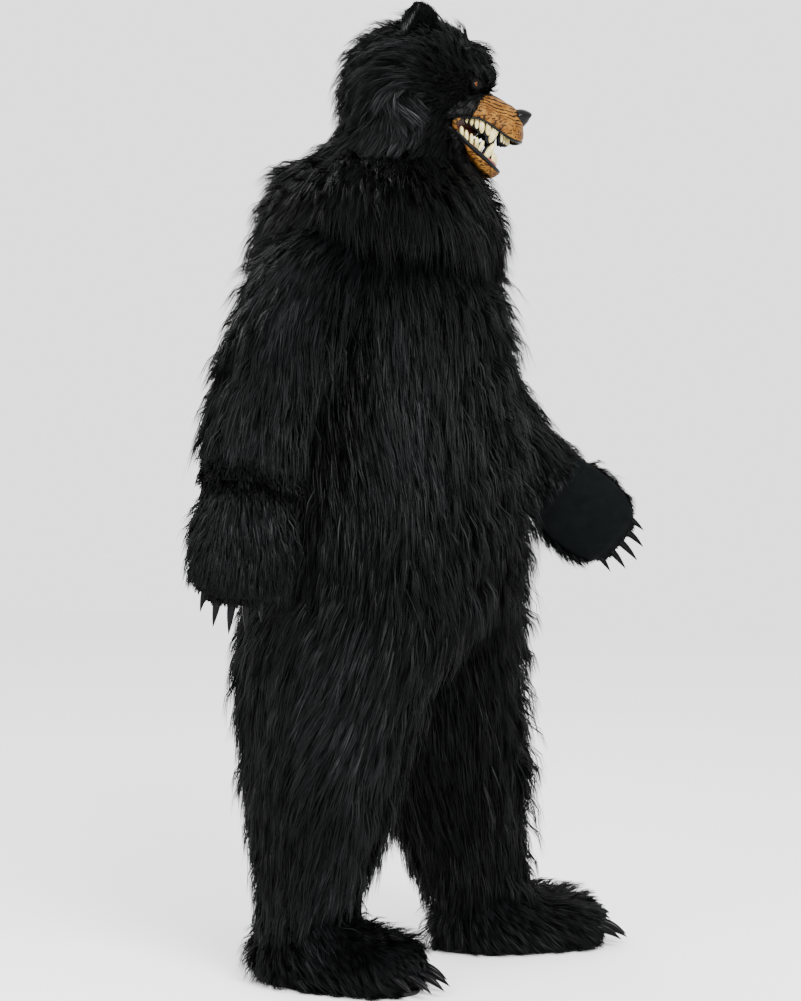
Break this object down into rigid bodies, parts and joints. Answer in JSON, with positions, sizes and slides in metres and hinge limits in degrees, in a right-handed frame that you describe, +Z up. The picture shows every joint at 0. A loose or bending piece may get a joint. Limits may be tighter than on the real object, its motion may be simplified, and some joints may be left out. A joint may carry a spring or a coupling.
{
  "type": "bear costume",
  "caption": "Worn full-body black bear costume in shaggy fur, with an open-mouthed mask, clawed mitts and clawed foot covers.",
  "frame": {"origin": "middle of the neck base at shoulder height, where the wearer's shoulders carry the suit, 1.47 m above the soles", "axes": "+Z up; the wearer's chest faces -Y and the wearer's left side is +X; the head is turned 24 degrees to the left"},
  "size_m": [1.1767, 0.6305, 1.9198],
  "materials": {
    "suit_fur": "long shaggy black faux fur",
    "mask_fur": "short dense black faux fur",
    "palm_cloth": "smooth matt black cloth",
    "tan_latex": "painted tan latex with dark streaks",
    "nose_latex": "glossy black latex",
    "tooth_resin": "aged ivory resin",
    "eye_resin": "amber resin with a dark pupil",
    "claw_plastic": "dark horn-like plastic",
    "sole_rubber": "black sole rubber"
  },
  "bodies": {
    "root": {"claw_foot_left_1": "claw_plastic", "claw_foot_left_2": "claw_plastic", "claw_foot_left_3": "claw_plastic", "claw_foot_left_4": "claw_plastic", "claw_foot_left_5": "claw_plastic", "claw_foot_right_1": "claw_plastic", "claw_foot_right_2": "claw_plastic", "claw_foot_right_3": "claw_plastic", "claw_foot_right_4": "claw_plastic", "claw_foot_right_5": "claw_plastic", "claw_hand_left_1": "claw_plastic", "claw_hand_left_2": "claw_plastic", "claw_hand_left_3": "claw_plastic", "claw_hand_left_4": "claw_plastic", "claw_hand_left_5": "claw_plastic", "claw_hand_right_1": "claw_plastic", "claw_hand_right_2": "claw_plastic", "claw_hand_right_3": "claw_plastic", "claw_hand_right_4": "claw_plastic", "claw_hand_right_5": "claw_plastic", "ear_left": "mask_fur", "ear_right": "mask_fur", "eye_left": "eye_resin", "eye_right": "eye_resin", "foot_left_sole": "sole_rubber", "foot_left_upper": "suit_fur", "foot_right_sole": "sole_rubber", "foot_right_upper": "suit_fur", "jaw": "tan_latex", "leg_left": "suit_fur", "leg_right": "suit_fur", "lower_teeth": "tooth_resin", "mask_bib": "mask_fur", "mask_hood": "mask_fur", "mitt_left_back": "suit_fur", "mitt_left_palm": "palm_cloth", "mitt_right_back": "suit_fur", "mitt_right_palm": "palm_cloth", "muzzle": "tan_latex", "nose": "nose_latex", "sleeve_left": "suit_fur", "sleeve_right": "suit_fur", "torso_back_left": "suit_fur", "torso_back_right": "suit_fur", "torso_front": "suit_fur", "upper_teeth": "tooth_resin"}
  },
  "joints": []
}
